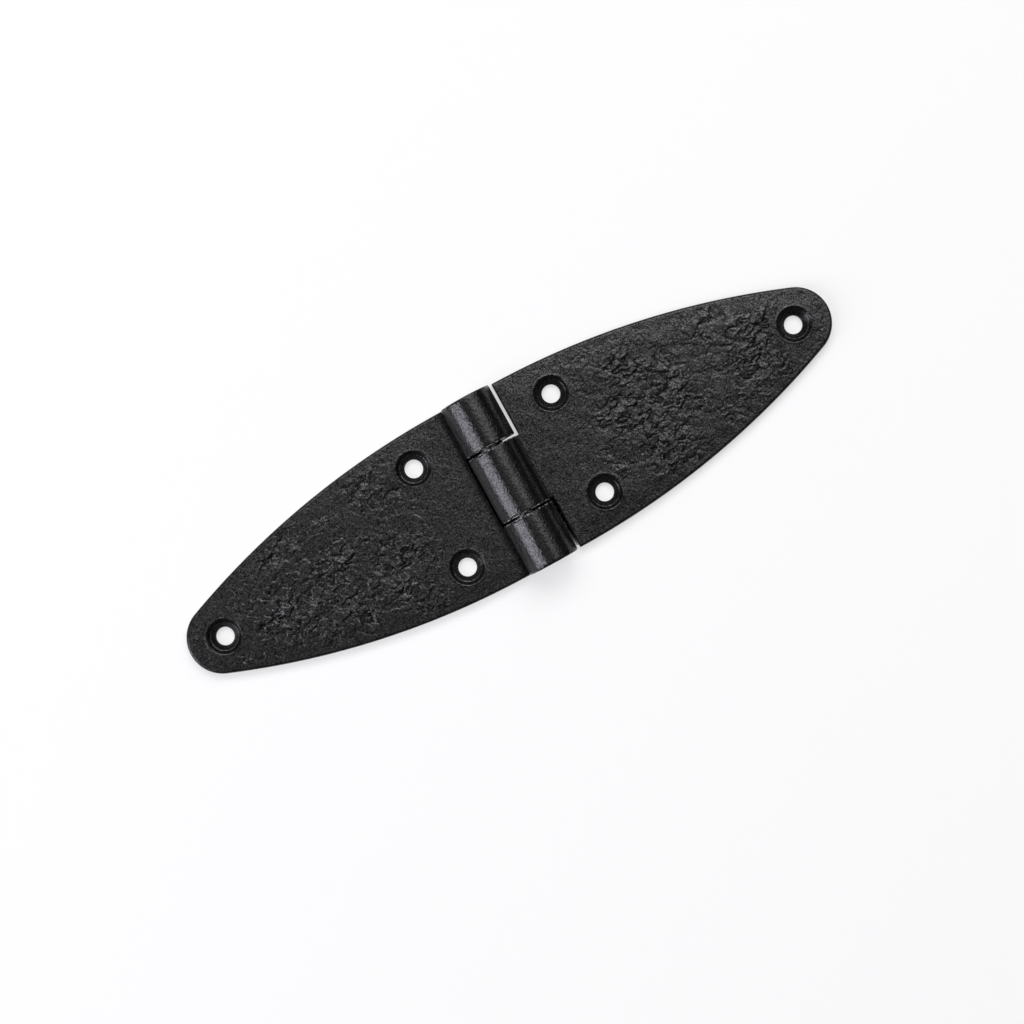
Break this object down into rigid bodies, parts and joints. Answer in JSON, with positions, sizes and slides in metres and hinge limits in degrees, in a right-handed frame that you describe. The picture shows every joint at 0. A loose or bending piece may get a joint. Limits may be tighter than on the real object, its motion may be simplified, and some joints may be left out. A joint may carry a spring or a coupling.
{
  "type": "shutter hinge",
  "caption": "Surface-mounted shutter hinge: long tapered leaves of black painted steel with round noses and countersunk screw holes, joined by rolled knuckles on a pin.",
  "frame": {"origin": "on the back plane, below the middle of the pin, with the hinge lying open on its back", "axes": "+X along the length towards the nose of the shutter leaf, +Y along the pin, +Z out of the front"},
  "size_m": [0.132, 0.0338, 0.0098],
  "materials": {
    "black_paint": "satin"
  },
  "bodies": {
    "frame_side": {"frame_leaf": "black_paint", "hinge_pin": "black_paint"},
    "shutter_side": {"shutter_leaf": "black_paint"}
  },
  "joints": [
    {"name": "leaf_swing", "type": "hinge", "parent": "frame_side", "child": "shutter_side", "pos_m": [0, 0, 0.0049], "axis": [0, -1, 0], "range_deg": [0, 180]}
  ]
}
